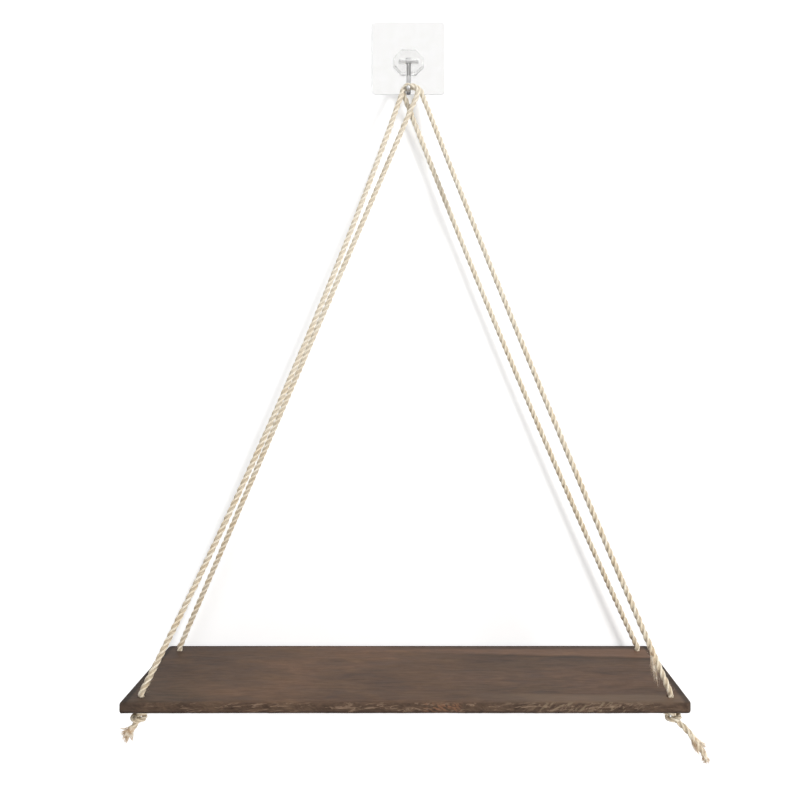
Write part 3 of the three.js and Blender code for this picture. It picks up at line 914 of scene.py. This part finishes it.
# Steel
def make_hook():
    """Wire swept from the pin down its stem, round the rear bend, along the run and up the lip."""
    points = [(0, PIN_Y, PIN_Z - STEM_START)]
    points += [(0, PIN_Y, z) for z in np.linspace(PIN_Z - STEM_NEXT, RUN_Z + REAR_BEND, 6)]
    for a in np.linspace(0, math.pi / 2, 13)[1:]:
        points.append((0, RUN_REAR + REAR_BEND * math.cos(a), RUN_Z + REAR_BEND * (1 - math.sin(a))))
    points += [(0, y, RUN_Z) for y in np.linspace(RUN_REAR, RUN_FRONT, 5)[1:]]
    for a in np.linspace(0, LIP_TURN, 9)[1:]:
        points.append((0, RUN_FRONT - LIP_RADIUS * math.sin(a), RUN_Z + LIP_RADIUS * (1 - math.cos(a))))
    points = np.array(points, float)
    tangents = np.gradient(points, axis=0)
    tangents /= np.linalg.norm(tangents, axis=1)[:, None]
    tangents[-1] = (0, -math.cos(LIP_TURN), math.sin(LIP_TURN))
    stations = [(point, tangent, WIRE_RADIUS) for point, tangent in zip(points, tangents)]
    for a in np.linspace(0, math.pi / 2, DOME_RINGS)[1:]:
        centre = points[-1] + tangents[-1] * WIRE_RADIUS * math.sin(a)
        stations.append((centre, tangents[-1], max(WIRE_RADIUS * math.cos(a), 0.02)))
    angle = turns(WIRE_SIDES)
    across = np.array([1.0, 0, 0])
    rings = []
    for centre, tangent, radius in stations:
        up = np.cross(tangent, across)
        rings.append(centre + radius * (np.outer(np.cos(angle), across) + np.outer(np.sin(angle), up)))
    return new_mesh("steel_hook", np.vstack(rings), grid_faces(len(rings), WIRE_SIDES))


def make_pin():
    """Cross pin with chamfered ends and a slight collar where the wire grows out of it."""
    half = PIN_LENGTH / 2
    left_half = [
        (-half, 1.1),
        (-half + 0.15, 1.35),
        (-half + 0.4, PIN_RADIUS),
        (-COLLAR_REACH - COLLAR_SLOPE, PIN_RADIUS),
        (-COLLAR_REACH, PIN_RADIUS + COLLAR_SWELL),
    ]
    rows = left_half + [(-x, radius) for x, radius in left_half[::-1]]
    verts = [
        (x, PIN_Y + radius * math.cos(a), PIN_Z + radius * math.sin(a))
        for x, radius in rows
        for a in turns(WIRE_SIDES)
    ]
    return new_mesh("steel_pin", verts, grid_faces(len(rows), WIRE_SIDES))


# Clear plastic
def bevelled(node, name, width):
    """A CAD node's own shape with its sharp edges rounded."""
    piece = bpy.data.objects.new(name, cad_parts[node].data.copy())
    bpy.context.scene.collection.objects.link(piece)
    weld = piece.modifiers.new("weld", "WELD")
    weld.merge_threshold = 0.00001
    flat = piece.modifiers.new("flat", "DECIMATE")
    flat.decimate_type = "DISSOLVE"
    flat.angle_limit = math.radians(1)
    edge = piece.modifiers.new("edge", "BEVEL")
    edge.width = width * MM
    edge.segments = 3
    edge.limit_method = "ANGLE"
    edge.angle_limit = math.radians(30)
    bpy.context.view_layer.objects.active = piece
    for modifier in list(piece.modifiers):
        bpy.ops.object.modifier_apply(modifier=modifier.name)
    piece.data.shade_flat()
    for vertex in piece.data.vertices:
        vertex.co -= vertex.normal * CLEAR_GAP * MM
    return piece


# Stage and light
def plane(name, corners, look):
    mesh = bpy.data.meshes.new(name)
    mesh.from_pydata(corners, [], [(0, 1, 2, 3)])
    mesh.materials.append(look)
    piece = bpy.data.objects.new(name, mesh)
    bpy.context.scene.collection.objects.link(piece)
    return piece


def wall_paint():
    """Glows a little for the camera, is plain white in mirrors and glass, and is clear from behind."""
    look = new_look("wall_paint")
    look.surface({"Base Color": grey(0.8), "Roughness": 1, "Specular IOR Level": 0})
    paint = look.nodes["Principled BSDF"].outputs[0]
    glow = look.add("Emission")
    look.feed(glow.inputs["Strength"], look.product(look.seen_by("Is Camera Ray"), WALL_GLOW))
    glowing = look.join("AddShader", paint, glow.outputs[0])
    white = look.add("Emission").outputs[0]
    seen = look.join("MixShader", look.seen_by("Is Glossy Ray", "Is Transmission Ray"), glowing, white)
    clear = look.add("BsdfTransparent").outputs[0]
    from_behind = look.add("NewGeometry").outputs["Backfacing"]
    whole = look.join("MixShader", from_behind, seen, clear)
    look.feed(look.nodes["Material Output"].inputs["Surface"], whole)
    return look.owner


def make_stage():
    """White wall and floor that keep shadows."""
    paint = wall_paint()
    left, right = -STAGE_HALF_WIDTH, STAGE_HALF_WIDTH
    foot_left, foot_right = (left, STAGE_WALL, STAGE_FLOOR), (right, STAGE_WALL, STAGE_FLOOR)
    top = [(right, STAGE_WALL, STAGE_TOP), (left, STAGE_WALL, STAGE_TOP)]
    near = [(left, STAGE_FRONT, STAGE_FLOOR), (right, STAGE_FRONT, STAGE_FLOOR)]
    wall = plane("wall", [foot_left, foot_right, *top], paint)
    floor = plane("floor", [*near, foot_right, foot_left], paint)


def area_light(name, place, aim, size, watts):
    data = bpy.data.lights.new(name, "AREA")
    data.shape = "DISK"
    data.size = size
    data.energy = watts
    lamp = bpy.data.objects.new(name, data)
    lamp.location = place
    lamp.rotation_euler = (Vector(aim) - Vector(place)).to_track_quat("-Z", "Y").to_euler()
    bpy.context.scene.collection.objects.link(lamp)
    return lamp


def make_lights(board):
    lamps = {name: area_light(name, **lamp) for name, lamp in LAMPS.items()}
    # The key lamp's shadows on the wall come from the ropes, the hook and the pad
    passed = bpy.data.collections.new("passed_by_key")
    passed.objects.link(board)
    passed.collection_objects[0].light_linking.link_state = "EXCLUDE"
    lamps["key"].light_linking.blocker_collection = passed
    world = bpy.data.worlds.new("world")
    bpy.context.scene.world = world
    look = Look(world)
    seen = look.seen_by("Is Camera Ray", "Is Glossy Ray", "Is Transmission Ray")
    strength = look.maths("MULTIPLY_ADD", seen, 1 - WORLD_LEVEL, WORLD_LEVEL)
    look.feed_named(look.nodes["Background"], {"Color": grey(1), "Strength": strength})
    bpy.context.scene.view_settings.view_transform = "Standard"


# Pieces on their bodies
def dress_rope(row, jute, fibre, fray):
    """One rope with its fuzz and its frayed ends, in place of its two legs, two knots and crown."""
    rope, line, radii, run = make_rope(row)
    rope.data.materials.append(jute)
    fuzz = make_fuzz(row, line, radii)
    fuzz.data.materials.append(fibre)
    for name in (f"front_{row}", f"rear_{row}"):
        hole = np.array([*hole_at(name), BOARD_BOTTOM])
        course = line if name.startswith("front") else line[::-1]
        for k, (back, count, thick, tips) in enumerate(FANS[name]):
            at = int(back / ROPE_STEP)
            way = course[at] - course[at + 4]
            places = hole + np.array(tips)
            seed = 10 * k + len(name)
            fan = make_fan(f"{name}_fray_{k + 1}", course[at], way, places, count, thick, seed)
            fan.data.materials.append(fray)
            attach(fan, "shelf")
    blend_start, blend_end = ((0, DRUM_Y * MM, (RUN_Z - drop) * MM) for drop in BLEND_DROPS)
    for piece in (rope, fuzz):
        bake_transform(piece)
        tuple(blend_start)
        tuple(blend_end)
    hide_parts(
        f"{row}_rope_crown", f"front_{row}_rope", f"rear_{row}_rope",
        f"front_{row}_knot", f"rear_{row}_knot",
    )
    hole = hole_at(f"rear_{row}")


def dress(piece, look, body, node, slot):
    """Give a piece its material, its body and the node that it replaces. The slot is not used."""
    piece.data.materials.clear()
    piece.data.materials.append(look)
    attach(piece, body)
    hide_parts(node)


make_camera()
jute, wood = jute_material(), wood_material()
fibre = fibre_material("jute_fibre", 700, srgb(186, 166, 136), srgb(228, 217, 194))
fray = fibre_material("frayed_jute", 280, srgb(206, 178, 144), srgb(244, 234, 216))
steel = steel_material()
plate_look = clear_material("clear_plastic", ((0.985, 0.985, 0.98), grey(0.995)), 1, 0.03, 90, 0.06)
boss_look = clear_material("hazy_plastic", ((0.965, 0.965, 0.96), (0.99, 0.99, 0.985)), 0.8, 0.05, 90, 0.06)
film = clear_material("adhesive", ((0.97, 0.965, 0.955), (0.99, 0.985, 0.98)), 1, 0.2, 160, 0.1)

for row in ("left", "right"):
    dress_rope(row, jute, fibre, fray)
board = make_board()
dress(board, wood, "shelf", "board", "wood")
dress(make_hook(), steel, "hook", "wire_hook", "steel")
dress(make_pin(), steel, "hook", "cross_pin", "steel")
for node, name, width, look, slot in (
    ("adhesive_film", "adhesive_pad", 0.1, film, "adhesive"),
    ("backing_plate", "clear_plate", 0.4, plate_look, "clear_plastic"),
    ("hook_base", "clear_boss", 0.5, boss_look, "clear_plastic"),
):
    dress(bevelled(node, name, width), look, "wall_plate", node, slot)

make_stage()
make_lights(board)
